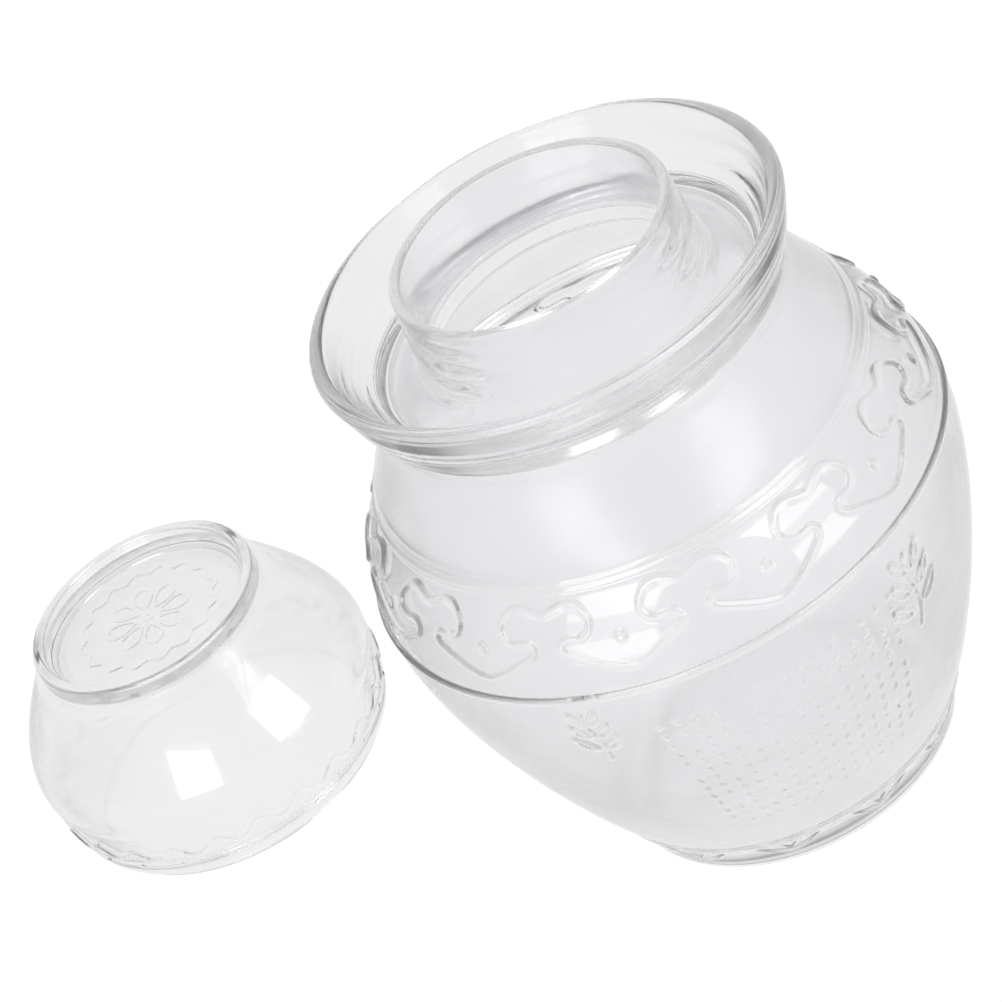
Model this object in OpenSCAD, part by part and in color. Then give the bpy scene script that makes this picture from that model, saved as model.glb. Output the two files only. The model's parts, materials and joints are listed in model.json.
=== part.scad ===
// Clear glass pickle jar with a water-seal trough and a bowl-shaped lid, taken off and set beside it.
// Millimetres, +Z up, origin on the table at the centre of the jar's foot. The jar stands on z = 0, and
// so does the lid, upside down like a bowl on a table. Each member of the glass is one module.

/* [Jar foot] */
// Outside diameter of the foot, measured just above the table
foot_d = 122; // [110:1:130]
// Outside diameter at the top of the foot, where the belly starts
foot_top_d = 134.6; // [132:1:146]
// Height of the foot
foot_h = 17; // [13:1:24]
// Thickness of the glass floor
floor_t = 6; // [4:0.5:9]
// Rise of the pushed-up middle of the floor above the table
pushup_h = 4; // [2:0.5:6]
// Width of the flat ring that the jar stands on
foot_land_w = 8; // [5:0.5:12]
// How far the raised line at the top of the foot stands out
foot_ridge_h = 0.7; // [0.3:0.1:1.2]
// Width of that raised line
foot_ridge_w = 2; // [1.4:0.1:3]

/* [Jar wall] */
// Outside diameter at the belly ridge, without the ridge
belly_d = 202.4; // [190:1:215]
// Height of the belly ridge above the table
belly_z = 125; // [110:1:140]
// How far the belly ridge stands out of the wall
belly_ridge_h = 0.8; // [0.4:0.1:1.6]
// Width of the belly ridge
belly_ridge_w = 2.4; // [1.5:0.1:4]
// How far the wall steps in above the belly ridge
belly_step = 0.7; // [0.3:0.1:1.5]
// Outside diameter at the soft double ridge on the shoulder
shoulder_d = 172; // [165:1:180]
// Height of the shoulder ridge above the table
shoulder_z = 158; // [150:1:166]
// How far the two beads of the shoulder ridge stand out
shoulder_ridge_h = 1.1; // [0.5:0.1:2]
// Width of one bead of the shoulder ridge
shoulder_ridge_w = 2.6; // [1.8:0.1:4]
// Outside diameter of the wall where the trough sits on it
collar_d = 139; // [134:1:144]
// Thickness of the blown wall, measured level
wall_t = 4; // [3:0.25:6]

/* [Water trough] */
// Height of the seat of the trough above the table
trough_z = 195; // [188:1:205]
// Thickness of the trough's floor
trough_floor_t = 6.5; // [5:0.5:9]
// Outside diameter at the foot of the trough's wall
trough_root_d = 146.4; // [144:1:152]
// Outside diameter at the trough's lip
trough_lip_d = 163.6; // [158:1:170]
// Height of the trough from its seat to the top of its lip
trough_h = 26; // [22:1:32]
// Thickness of the trough's wall at the lip
trough_wall_t = 5.4; // [4:0.2:7]
// Radius of the fillet between the trough's floor and its wall
trough_fillet = 3; // [2:0.5:4]

/* [Neck] */
// Diameter of the mouth
mouth_d = 89.6; // [80:0.4:92]
// Thickness of the neck at its lip
neck_t = 3.5; // [3:0.25:5]
// Extra thickness of the neck at its foot
neck_flare = 1.8; // [1:0.2:3]
// Height of the neck above the trough's floor
neck_h = 30.5; // [26:0.5:34]
// Radius of the fillet at the foot of the neck
neck_fillet = 4.2; // [3:0.2:5]

/* [Relief on the jar] */
// How far the raised lines stand out of the glass
relief_h = 0.9; // [0.5:0.1:1.4]
// Width of the raised lines of the cloud border
cloud_line_w = 2.2; // [1.6:0.1:2.6]
// Number of clouds round the jar
cloud_count = 12; // [10:1:12]
// Height of the cloud border from the festoons to the tops of the clouds
cloud_h = 21; // [18:0.5:22]
// Height of the centres of the dots above the table
cloud_dot_z = 142.5; // [140:0.5:143]
// Direction of the middle of one cloud, in degrees about the jar's axis
cloud_azimuth = -124.3; // [-180:0.1:180]
// Diameter of the dots between the clouds
cloud_dot_d = 4.6; // [3:0.2:6]
// Number of leaves round the foot
leaf_count = 12; // [9:1:14]
// Width of the raised lines on the foot
leaf_line_w = 1.4; // [1:0.1:1.8]
// Columns of beads in the panel on the belly
panel_columns = 15; // [8:1:17]
// Rows of beads in the panel on the belly
panel_rows = 13; // [6:1:14]
// Distance between neighbouring rows of beads
panel_pitch = 5.6; // [5:0.1:6]
// Diameter of one bead of the panel
panel_bead_d = 2.4; // [1.6:0.1:3]
// Height of the middle of the panel above the table
panel_z = 72; // [68:1:76]
// Direction that the panel faces, in degrees about the jar's axis
panel_azimuth = -86; // [-180:1:180]

/* [Lid] */
// Diameter of the lid's rim, outside
lid_rim_d = 121; // [116:0.5:126]
// Height of the thick rim
lid_rim_h = 8; // [6:0.5:12]
// Thickness of the rim
lid_rim_t = 4.6; // [4:0.2:6]
// Largest outside diameter of the lid
lid_d = 135.6; // [132:0.4:140]
// Height of the widest part of the lid above its rim's edge
lid_widest_z = 28; // [22:1:32]
// Height of the lid's flat top without the foot ring
lid_bowl_h = 75.5; // [68:0.5:84]
// Outside diameter of the flat top
lid_top_d = 91; // [86:0.5:96]
// Thickness of the lid's wall
lid_wall_t = 3.4; // [3:0.2:5]
// Distance of the foot ring from the edge of the flat top
lid_foot_inset = 0.5; // [0.5:0.5:6]
// Height of the foot ring
lid_foot_h = 6.5; // [4:0.5:9]
// Thickness of the foot ring at its top
lid_foot_t = 4.6; // [3.5:0.1:6]
// Width of the hollow slope between the foot ring and the disc inside it
lid_foot_slope_w = 6; // [1:0.5:8]
// Distance of the lid's axis to the left of the jar's axis
lid_left = 188.5; // [175:0.5:230]
// Distance of the lid's axis behind the jar's axis
lid_back = 140.9; // [100:0.5:180]

/* [Relief on the lid] */
// Number of waves and dots round the lid's rim
lid_wave_count = 24; // [16:1:28]
// Width of the raised lines on the lid
lid_line_w = 1.3; // [1:0.1:1.8]
// Petals of the flower on the foot disc
petal_count = 8; // [5:1:9]

/* [Hidden] */
glass_colour = [0.86, 0.9, 0.92, 0.55];
relief_colour = [0.55, 0.66, 0.72];

// Steps on a curve of an outline, and on one span of a raised line
curve_steps = 14;
span_steps = 2;
// Facets of a full turn
$fn = 120;
// Room between a raised line's flat back and the curved glass that carries it
seat_gap = 0.1;

foot_r = foot_d / 2;
foot_top_r = foot_top_d / 2;
belly_r = belly_d / 2;
shoulder_r = shoulder_d / 2;
collar_r = collar_d / 2;
mouth_r = mouth_d / 2;
trough_root_r = trough_root_d / 2;
trough_lip_r = trough_lip_d / 2;
trough_floor_z = trough_z + trough_floor_t;
neck_lip_r = mouth_r + neck_t;
neck_foot_r = neck_lip_r + neck_flare;
lid_rim_r = lid_rim_d / 2;
lid_r = lid_d / 2;
lid_top_r = lid_top_d / 2;
lid_foot_r = lid_top_r - lid_foot_inset;
lid_foot_in_r = lid_foot_r - lid_foot_t;
lid_disc_r = lid_foot_in_r - lid_foot_slope_w;

// Where the inner control points of each curve of the outlines lie, as shares of the span between its ends
belly_curve_shares = [[0.348, 0.17], [1.056, 0.71]];
band_curve_shares = [[0.098, 0.406], [0.364, 0.815]];
collar_curve_shares = [[0.323, 0.306], [0.876, 0.694]];
trough_curve_shares = [[0.52, 0.3], [0.78, 0.72]];
rim_curve_shares = [[0.55, 0.35], [0.95, 0.7]];
swell_curve_shares = [[0.5, 0.25], [1, 0.55]];
dome_curve_shares = [[-0.2, 0.305], [0.713, 0.78]];
foot_slope_shares = [[0.04, 0.5], [0.5, 0.85]];

// Points on a cubic curve from a to b, with the control points c and d between them
function bend(a, c, d, b, n = curve_steps) =
    [for (i = [0 : n]) let (t = i / n, u = 1 - t)
        u * u * u * a + 3 * u * u * t * c + 3 * u * t * t * d + t * t * t * b];

// The same with the control points given as shares of the span from a to b
function curve(a, b, shares) =
    let (c = [for (s = shares) [a.x + (b.x - a.x) * s.x, a.y + (b.y - a.y) * s.y]])
    bend(a, c[0], c[1], b);

// Points on an arc of radius r about c, from angle a0 to angle a1
function arc(c, r, a0, a1, n = curve_steps) =
    [for (i = [0 : n]) let (a = a0 + (a1 - a0) * i / n) c + r * [cos(a), sin(a)]];

// The same outline moved level towards the axis
function inward(points, t) = [for (p = points) [p.x - t, p.y]];

function backward(points) = [for (i = [len(points) - 1 : -1 : 0]) points[i]];

// An open outline moved by t to its left, square to itself
function inset(points, t) =
    let (last = len(points) - 1)
    [for (i = [0 : last])
        let (d = points[min(i + 1, last)] - points[max(i - 1, 0)]) points[i] + t * [-d.y, d.x] / norm(d)];

// Outside of the jar, member by member, from the table up
foot_land_r = foot_r - foot_land_w / 2;
foot_edge_r = min(foot_land_w / 4, foot_h / 8);
foot_line = concat(
    arc([foot_r - foot_edge_r, foot_edge_r], foot_edge_r, -90, 0, curve_steps / 2),
    curve([foot_r, foot_edge_r], [foot_top_r, foot_h], [[0.25, 0.35], [0.75, 0.8]])
);
foot_ridge_low = [lookup(foot_h - foot_ridge_w, [for (p = foot_line) [p.y, p.x]]), foot_h - foot_ridge_w];
belly_line = curve([foot_top_r, foot_h], [belly_r, belly_z - belly_ridge_w], belly_curve_shares);
belly_edge = [belly_r, belly_z];
band_line = curve([belly_r - belly_step, belly_z], [shoulder_r, shoulder_z - shoulder_ridge_w], band_curve_shares);
collar_line = curve([shoulder_r, shoulder_z + shoulder_ridge_w], [collar_r, trough_z], collar_curve_shares);
outside = concat(foot_line, belly_line, band_line, collar_line);
outside_table = [for (p = outside) [p.y, p.x]];

// Radius of the jar's outside at height z, and its slope there
function wall_r(z) = lookup(z, outside_table);
slope_reach = foot_h / 8;
function wall_slope(z) = (wall_r(z + slope_reach) - wall_r(z - slope_reach)) / (2 * slope_reach);

// The outline of a raised bead between two heights of the wall, n points
function bead_line(a, b, h, n = curve_steps) =
    let (d = b - a, out = [d.y, -d.x] / norm(d))
    [for (i = [1 : n - 1]) let (t = i / n) a + t * d + h * sin(180 * t) * out];

module turned(points) {
    rotate_extrude() polygon(points);
}

module jar_foot() {
    land_in_r = foot_land_r - foot_land_w / 2;
    // The cavity's corner over the heel, from the wall in to the floor
    heel_z = floor_t + 0.3 * (foot_h - floor_t);
    heel_line = bend([foot_top_r - wall_t, foot_h], [foot_r + 0.14 * foot_land_w, heel_z],
        [foot_r - 0.16 * foot_land_w, floor_t], [foot_r - 1.21 * foot_land_w, floor_t]);
    color(glass_colour) turned(concat(
        [[0, pushup_h]],
        curve([land_in_r * 0.4, pushup_h], [land_in_r, 0], [[0.4, 0], [0.9, 0.3]]),
        [for (p = foot_line) if (p.y < foot_h - foot_ridge_w) p],
        bead_line(foot_ridge_low, [foot_top_r, foot_h], foot_ridge_h),
        [[foot_top_r, foot_h]],
        heel_line,
        [[0, pushup_h + floor_t]]
    ));
}

module jar_belly() {
    color(glass_colour) turned(concat(
        belly_line,
        bead_line([belly_r, belly_z - belly_ridge_w], belly_edge, belly_ridge_h),
        [belly_edge, [belly_r - wall_t, belly_z]],
        backward(inward(belly_line, wall_t))
    ));
}

module jar_shoulder() {
    ridge_low = band_line[curve_steps];
    ridge_top = collar_line[0];
    ridge_mid = (ridge_low + ridge_top) / 2;
    color(glass_colour) turned(concat(
        band_line,
        bead_line(ridge_low, ridge_mid, shoulder_ridge_h),
        [ridge_mid],
        bead_line(ridge_mid, ridge_top, shoulder_ridge_h * 0.8),
        collar_line,
        backward(inward(collar_line, wall_t)),
        backward(inward(band_line, wall_t))
    ));
}

module water_trough() {
    lip = trough_wall_t / 2;
    lip_c = [trough_lip_r - lip, trough_z + trough_h - lip];
    root_edge = trough_fillet / 2;
    root = [trough_root_r, trough_z + root_edge];
    wall = curve(root, [trough_lip_r, lip_c.y], trough_curve_shares);
    inner_foot = [trough_root_r - trough_wall_t, trough_floor_z + trough_fillet];
    inner_wall = curve(inner_foot, [lip_c.x - lip, lip_c.y], trough_curve_shares);
    fillet_c = [inner_foot.x - trough_fillet, inner_foot.y];
    color(glass_colour) turned(concat(
        [[mouth_r, trough_z]],
        arc([root.x - root_edge, root.y], root_edge, -90, 0, curve_steps / 2),
        wall,
        arc(lip_c, lip, 0, 180),
        backward(inner_wall),
        arc(fillet_c, trough_fillet, 0, -90, curve_steps / 2),
        [[mouth_r, trough_floor_z]]
    ));
}

module neck_ring() {
    top_z = trough_floor_z + neck_h;
    lip = neck_t / 2;
    lip_c = [mouth_r + lip, top_z - lip];
    fillet_c = [neck_foot_r + neck_fillet, trough_floor_z + neck_fillet];
    color(glass_colour) turned(concat(
        [[mouth_r, trough_floor_z]],
        arc(fillet_c, neck_fillet, -90, -180, curve_steps / 2),
        [[neck_lip_r, lip_c.y]],
        arc(lip_c, lip, 0, 180)
    ));
}

// Point i of a pattern's path. A closed path repeats, moved on by period where it runs round the glass.
function path_point(p, i, closed, period) =
    let (m = len(p)) closed ? p[(i + m) % m] + [period * floor(i / m), 0] : p[max(min(i, m - 1), 0)];

// A raised line along path, w wide and h high, closed into a loop or with tapered ends. Its path lies on
// a flat pattern, x along and y up, and place(x, y, k) gives the point k outside the glass that carries it.
module raised_line(path, w, h, place, closed = true, period = 0) {
    n = len(path);
    // Four corners of the section: across the line, and out of the glass
    section_shares = [[-0.5, 0], [-0.28, 1], [0.28, 1], [0.5, 0]];
    sides = len(section_shares);
    points = [for (i = [0 : n - 1])
        let (d = path_point(path, i + 1, closed, period) - path_point(path, i - 1, closed, period),
            across = [-d.y, d.x] / norm(d),
            taper = closed || (i > 0 && i < n - 1) ? 1 : 0.4)
        for (s = section_shares)
            let (q = path[i] + across * s.x * w * taper) place(q.x, q.y, seat_gap + s.y * h * taper)];
    spans = closed ? n : n - 1;
    skin = [for (i = [0 : spans - 1]) for (j = [0 : sides - 1])
        let (a = i * sides + j, b = i * sides + (j + 1) % sides,
            c = (i + 1) % n * sides + (j + 1) % sides, e = (i + 1) % n * sides + j)
        each [[a, b, c], [a, c, e]]];
    caps = closed ? [] : [[0, 3, 2], [0, 2, 1], [for (k = [0, 1, 2]) spans * sides + k],
        [for (k = [0, 2, 3]) spans * sides + k]];
    polyhedron(points, concat(skin, caps));
}

// A low raised patch with sloping edges inside a closed outline on the flat pattern
module raised_patch(outline, h, place) {
    n = len(outline);
    middle = [for (k = [0, 1]) [for (p = outline) p[k]] * [for (p = outline) 1 / n]];
    top_share = 0.72;
    foot = [for (p = outline) place(p.x, p.y, seat_gap)];
    top = [for (p = outline) let (q = middle + top_share * (p - middle)) place(q.x, q.y, seat_gap + h)];
    points = concat(foot, top, [place(middle.x, middle.y, seat_gap), place(middle.x, middle.y, seat_gap + h)]);
    polyhedron(points, [for (i = [0 : n - 1]) let (j = (i + 1) % n)
        each [[i, n + j, j], [i, n + i, n + j], [n + i, 2 * n + 1, n + j], [i, j, 2 * n]]]);
}

// The flat pattern's place on the jar: x runs round the jar at radius ref_r from azimuth a0, y is height
function on_jar(ref_r, a0) = function (x, y, k)
    let (a = a0 + x / ref_r * 180 / PI, slope = wall_slope(y), len = norm([1, slope]),
        r = wall_r(y) + k / len)
    [r * cos(a), r * sin(a), y - k * slope / len];

// A smooth line through the points, n steps on each span
function smooth(p, n, closed = true, period = 0) =
    let (m = len(p), at = function (i) path_point(p, i, closed, period))
    concat([for (i = [0 : closed ? m - 1 : m - 2]) for (k = [0 : n - 1])
        let (t = k / n, a = at(i - 1), b = at(i), c = at(i + 1), d = at(i + 2))
        0.5 * (2 * b + (c - a) * t + (2 * a - 5 * b + 4 * c - d) * t * t + (3 * b - a - 3 * c + d) * t * t * t)],
        closed ? [] : [p[m - 1]]);

// Turns and moves a dot or bead out to its place on the jar
module at_jar(azimuth, z) {
    rotate([0, 0, azimuth]) translate([wall_r(z), 0, z]) rotate([0, 90 + atan(wall_slope(z)), 0])
        translate([0, 0, seat_gap]) children();
}

// A low dome: the cap of a ball
module dome(d, h) {
    ball_r = (d * d / 4 + h * h) / (2 * h);
    intersection() {
        translate([0, 0, h - ball_r]) sphere(r = ball_r, $fn = 48);
        cylinder(d = 2 * d, h = 2 * h, $fn = 32);
    }
}

// Half a cloud from the middle of its top to the middle of the festoon beside it: shares of half the
// distance between clouds, and of the border's height above the dots
cloud_half_shares = [[0, 0.43], [0.13, 0.46], [0.33, 0.51], [0.53, 0.47], [0.65, 0.32], [0.61, 0.16],
    [0.48, 0.085], [0.36, 0.09], [0.245, 0.085], [0.19, -0.01], [0.25, -0.11], [0.38, -0.19], [0.56, -0.3],
    [0.76, -0.42], [1, -0.5]];

module cloud_scroll() {
    ref_r = wall_r(cloud_dot_z);
    half = PI * ref_r / cloud_count;
    last = len(cloud_half_shares) - 1;
    left_half = [for (i = [last : -1 : 1]) [-cloud_half_shares[i].x, cloud_half_shares[i].y]];
    right_half = [for (i = [0 : last - 1]) cloud_half_shares[i]];
    one_cloud = concat(left_half, right_half);
    loop = [for (c = [0 : cloud_count - 1]) for (s = one_cloud)
        [half * (2 * c + s.x), cloud_dot_z + s.y * cloud_h]];
    period = 2 * PI * ref_r;
    color(relief_colour) raised_line(smooth(loop, span_steps, true, period), cloud_line_w, relief_h,
        on_jar(ref_r, cloud_azimuth), true, period);
}

module cloud_dots() {
    color(relief_colour) for (i = [0 : cloud_count - 1])
        at_jar(cloud_azimuth + (i + 0.5) * 360 / cloud_count, cloud_dot_z) dome(cloud_dot_d, relief_h);
}

// A waved line round the foot: one wave as shares of its pitch and of the foot's height
wave_shares = [[0, 0.8], [0.18, 0.71], [0.34, 0.49], [0.5, 0.38], [0.66, 0.49], [0.82, 0.71]];
foot_ref_r = wall_r(foot_h / 2);
leaf_pitch = 2 * PI * foot_ref_r / leaf_count;
module foot_wave() {
    wave = [for (i = [0 : leaf_count - 1]) for (s = wave_shares) [leaf_pitch * (i + s.x), foot_h * s.y]];
    period = leaf_pitch * leaf_count;
    color(relief_colour) raised_line(smooth(wave, span_steps, true, period), leaf_line_w, relief_h * 0.7,
        on_jar(foot_ref_r, 0), true, period);
}

// One leaf above the low point of each wave
leaf_shares = [[0.5, 0.81], [0.42, 0.76], [0.38, 0.67], [0.44, 0.6], [0.5, 0.55], [0.56, 0.6], [0.62, 0.67],
    [0.58, 0.76]];
module foot_leaves() {
    color(relief_colour) for (i = [0 : leaf_count - 1])
        raised_patch([for (s = leaf_shares) [leaf_pitch * s.x, foot_h * s.y]], relief_h * 0.6,
            on_jar(foot_ref_r, i * 360 / leaf_count));
}

// Rows of small raised beads, with gaps that follow a rule, so that the panel reads as a generic texture
module bead_panel() {
    ref_r = wall_r(panel_z);
    step = panel_pitch / ref_r * 180 / PI;
    color(relief_colour) for (row = [0 : panel_rows - 1]) for (col = [0 : panel_columns - 1])
        if ((3 * row + 5 * col) % 7 != 0)
            at_jar(panel_azimuth + (col - (panel_columns - 1) / 2) * step,
                panel_z + (row - (panel_rows - 1) / 2) * panel_pitch)
                cylinder(d1 = panel_bead_d, d2 = panel_bead_d * 0.55, h = relief_h * 0.6, $fn = 24);
}

// A curved stem with pairs of leaves, drawn upright on the flat pattern, size high
sprig_stem_shares = [[0, -0.5], [0.05, -0.2], [0, 0.1], [-0.06, 0.32], [0, 0.5]];
sprig_leaf_shares = [[0.06, -0.22], [0.15, -0.22], [0.24, -0.16], [0.3, -0.02], [0.21, -0.06], [0.12, -0.12]];
module sprig(azimuth, z, size) {
    place = on_jar(wall_r(z), azimuth);
    raised_line(smooth([for (s = sprig_stem_shares) [s.x * size, z + s.y * size]], span_steps, false),
        leaf_line_w, relief_h * 0.7, place, false);
    for (k = [0 : 2]) for (side = [-1, 1]) {
        leaf = [for (s = sprig_leaf_shares)
            [side * (s.x * (1 - k / 5) + 0.03) * size, z + (s.y + k * 0.26) * size]];
        raised_patch(side > 0 ? leaf : backward(leaf), relief_h * 0.6, place);
    }
}

module sprig_relief() {
    sprig_z = 0.78 * belly_z;
    sprig_size = 0.27 * belly_z;
    color(relief_colour) {
        sprig(panel_azimuth + 31, sprig_z, sprig_size);
        sprig(panel_azimuth - 37, sprig_z + sprig_size / 4, sprig_size * 0.7);
    }
}

module place_lid() {
    translate([-lid_left, lid_back, 0]) children();
}

// Outside of the lid, as it stands on its rim
lid_rim_top_r = lid_rim_r + (lid_r - lid_rim_r) * 0.62;
lid_edge_r = lid_rim_t / 3;
lid_rim_line = curve([lid_rim_r, lid_edge_r], [lid_rim_top_r, lid_rim_h], rim_curve_shares);
lid_swell_line = curve([lid_rim_top_r, lid_rim_h], [lid_r, lid_widest_z], swell_curve_shares);
lid_dome_line = curve([lid_r, lid_widest_z], [lid_top_r, lid_bowl_h], dome_curve_shares);
lid_side = concat(lid_swell_line, [for (i = [1 : curve_steps]) lid_dome_line[i]]);
lid_table = [for (p = lid_side) [p.y, p.x]];

module lid_rim() {
    color(glass_colour) place_lid() turned(concat(
        arc([lid_rim_r - lid_edge_r, lid_edge_r], lid_edge_r, -90, 0, curve_steps / 2),
        lid_rim_line,
        [[lid_rim_top_r - lid_rim_t, lid_rim_h]],
        [[lid_rim_r - lid_rim_t, lid_edge_r]],
        arc([lid_rim_r - lid_rim_t + lid_edge_r, lid_edge_r], lid_edge_r, 180, 270, curve_steps / 2)
    ));
}

module lid_bowl() {
    ceiling_z = lid_bowl_h - lid_wall_t;
    inner = [for (p = inset(lid_side, lid_wall_t))
        if (p.y > lid_rim_h + lid_wall_t / 4 && p.y < ceiling_z - lid_wall_t / 4) p];
    color(glass_colour) place_lid() turned(concat(
        lid_side,
        [[0, lid_bowl_h], [0, ceiling_z]],
        [[inner[len(inner) - 1].x - lid_wall_t, ceiling_z]],
        backward(inner),
        [[lid_rim_top_r - lid_wall_t, lid_rim_h]]
    ));
}

module lid_foot() {
    edge = lid_foot_t * 0.35;
    top_z = lid_bowl_h + lid_foot_h;
    slope_top = [lid_foot_in_r, top_z - edge];
    slope_end = [lid_disc_r, lid_bowl_h];
    color(glass_colour) place_lid() turned(concat(
        [[lid_foot_r, lid_bowl_h]],
        arc([lid_foot_r - edge, top_z - edge], edge, 0, 90, curve_steps / 2),
        arc([lid_foot_in_r + edge, top_z - edge], edge, 90, 165, curve_steps / 2),
        curve(slope_top, slope_end, foot_slope_shares)
    ));
}

// The flat pattern's place round the lid, and on the disc inside its foot
lid_reach = lid_wall_t / 2;
function lid_side_r(z) = lookup(z, lid_table);
function lid_slope(z) = (lid_side_r(z + lid_reach) - lid_side_r(z - lid_reach)) / (2 * lid_reach);
on_lid = function (x, y, k)
    let (a = x / lid_r * 180 / PI, slope = lid_slope(y), len = norm([1, slope]), r = lid_side_r(y) + k / len)
    [r * cos(a), r * sin(a), y - k * slope / len];
on_disc = function (x, y, k) [x, y, lid_bowl_h + k];

module lid_wave_border() {
    pitch = 2 * PI * lid_r / lid_wave_count;
    wave_z = (lid_rim_h + lid_widest_z) / 2;
    wave = [for (i = [0 : lid_wave_count - 1]) for (t = [0, 0.25, 0.5, 0.75])
        [pitch * (i + t), wave_z + (lid_widest_z - lid_rim_h) / 8 * sin(360 * t)]];
    period = pitch * lid_wave_count;
    color(relief_colour) place_lid() raised_line(smooth(wave, span_steps, true, period), lid_line_w,
        relief_h * 0.7, on_lid, true, period);
}

module lid_rim_dots() {
    dot_z = lid_rim_h + (lid_widest_z - lid_rim_h) * 0.22;
    color(relief_colour) place_lid() for (i = [0 : lid_wave_count - 1])
        rotate([0, 0, (i + 0.25) * 360 / lid_wave_count]) translate([lid_side_r(dot_z), 0, dot_z])
            rotate([0, 90 + atan(lid_slope(dot_z)), 0]) translate([0, 0, seat_gap])
                dome(1.6 * lid_line_w, relief_h * 0.7);
}

// A generic flower inside a wavy ring
module lid_rosette() {
    ring_r = 0.78 * lid_disc_r;
    wave_h = 0.045 * ring_r;
    waves = 2 * petal_count;
    ring = [for (i = [0 : 4 * waves - 1]) let (a = 90 * i / waves) (ring_r + wave_h * cos(waves * a)) * [cos(a), sin(a)]];
    // One petal, pointing along +X: shares of the ring's radius
    petal_shares = [[0.2, 0], [0.3, -0.06], [0.42, -0.11], [0.54, -0.11], [0.62, 0], [0.54, 0.11], [0.42, 0.11],
        [0.3, 0.06]];
    color(relief_colour) place_lid() {
        raised_line(ring, lid_line_w, relief_h * 0.7, on_disc);
        for (i = [0 : petal_count - 1]) rotate([0, 0, 360 * i / petal_count])
            raised_patch(petal_shares * ring_r, relief_h * 0.6, on_disc);
        raised_patch(arc([0, 0], 0.12 * ring_r, 0, 330, 11), relief_h * 0.8, on_disc);
    }
}

jar_foot();
jar_belly();
jar_shoulder();
water_trough();
neck_ring();
cloud_scroll();
cloud_dots();
foot_wave();
foot_leaves();
bead_panel();
sprig_relief();
lid_rim();
lid_bowl();
lid_foot();
lid_wave_border();
lid_rim_dots();
lid_rosette();
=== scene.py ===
# %% [markdown]
# # A glass pickle jar with a water seal
#
# The jar is one piece of clear glass: a round body blown in a mould, and on top of it a
# dish-shaped trough with an upright neck in its middle, both shaped with tools while the
# glass was soft. The lid is a second piece. In use it stands over the neck with its rim in
# the water of the trough; here it has been taken off and set down beside the jar.
#
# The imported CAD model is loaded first. It says where everything is, and nothing in it moves.

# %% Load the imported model
import math

import bpy
import numpy as np
from mathutils import Matrix, Vector
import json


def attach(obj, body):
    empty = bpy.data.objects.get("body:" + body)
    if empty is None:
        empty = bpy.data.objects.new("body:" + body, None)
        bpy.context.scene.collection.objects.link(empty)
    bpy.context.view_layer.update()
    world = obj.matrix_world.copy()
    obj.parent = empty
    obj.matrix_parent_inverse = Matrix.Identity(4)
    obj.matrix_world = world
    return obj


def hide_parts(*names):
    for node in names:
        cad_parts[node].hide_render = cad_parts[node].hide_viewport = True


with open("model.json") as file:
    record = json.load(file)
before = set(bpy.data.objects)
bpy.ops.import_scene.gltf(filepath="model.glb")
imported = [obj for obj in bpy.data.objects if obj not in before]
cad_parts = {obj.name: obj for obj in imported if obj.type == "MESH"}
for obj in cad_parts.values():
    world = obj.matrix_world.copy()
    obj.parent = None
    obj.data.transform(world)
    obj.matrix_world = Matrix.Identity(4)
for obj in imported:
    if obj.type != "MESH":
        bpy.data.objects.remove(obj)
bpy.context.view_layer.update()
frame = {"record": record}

MM = 0.001

# %% [markdown]
# ## Camera
#
# The photograph was taken from some way off with a long lens, so round things keep their
# shape. The camera looks down on the jar and is rolled, which makes the jar lean. A Track To
# constraint could aim it, but it can't roll, so the camera's three directions are worked
# out instead: right, down and forward. The roll turns the first two about the third.

# %% Camera
# Lengths in millimetres
CAMERA_FAR = 1312.0
CAMERA_AIM_HEIGHT = 142.75
CAMERA_ELEVATION = math.radians(34.78)
CAMERA_ROLL = math.radians(-27.65)
CAMERA_YAW = math.radians(-2.1)
CAMERA_PITCH = math.radians(-0.1)
CAMERA_LENS = 143.75
CAMERA_SENSOR = 36
CAMERA_REACH = 20000


def turn(angle, axis):
    """The matrix of a turn about an axis."""
    return np.array(Matrix.Rotation(angle, 3, axis))


forward = np.array([0, math.cos(CAMERA_ELEVATION), -math.sin(CAMERA_ELEVATION)])
right = np.array([1.0, 0, 0])
level = np.array([right, -np.cross(right, forward), forward])
rows = turn(CAMERA_ROLL, "Z") @ turn(CAMERA_PITCH, "X") @ turn(-CAMERA_YAW, "Y") @ level
camera_at = np.array([0, -CAMERA_FAR * math.cos(CAMERA_ELEVATION),
                      CAMERA_AIM_HEIGHT + CAMERA_FAR * math.sin(CAMERA_ELEVATION)]) * MM

camera = bpy.data.objects.new("camera", bpy.data.cameras.new("camera"))
bpy.context.scene.collection.objects.link(camera)
camera.data.lens = CAMERA_LENS
camera.data.sensor_width = CAMERA_SENSOR
camera.data.clip_end = CAMERA_REACH * MM
axes = Matrix([rows[0], -rows[1], -rows[2]]).transposed()
camera.matrix_world = Matrix.Translation(Vector(camera_at)) @ axes.to_4x4()
bpy.context.scene.camera = camera
print("camera at", np.round(camera_at, 3), "m, lens", CAMERA_LENS, "mm")

# %% [markdown]
# ## Outlines
#
# Both pieces are round, so each is described by half of its section: a line of radius and
# height that is turned about an axis. A Bezier curve drawn by hand would do. Here the line
# is worked out from the places where the glass changes direction, with easy curves between
# them, so that it keeps the CAD model's measures. They are in millimetres.

# %% Helpers for outlines


def bend(a, b, shares, steps=24):
    """A cubic curve from a to b. Its inner control points are shares of the span."""
    a, b = np.array(a, float), np.array(b, float)
    c, d = (a + (b - a) * np.array(s) for s in shares)
    t = np.linspace(0, 1, steps + 1)[:, None]
    u = 1 - t
    return u ** 3 * a + 3 * u * u * t * c + 3 * u * t * t * d + t ** 3 * b


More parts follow.
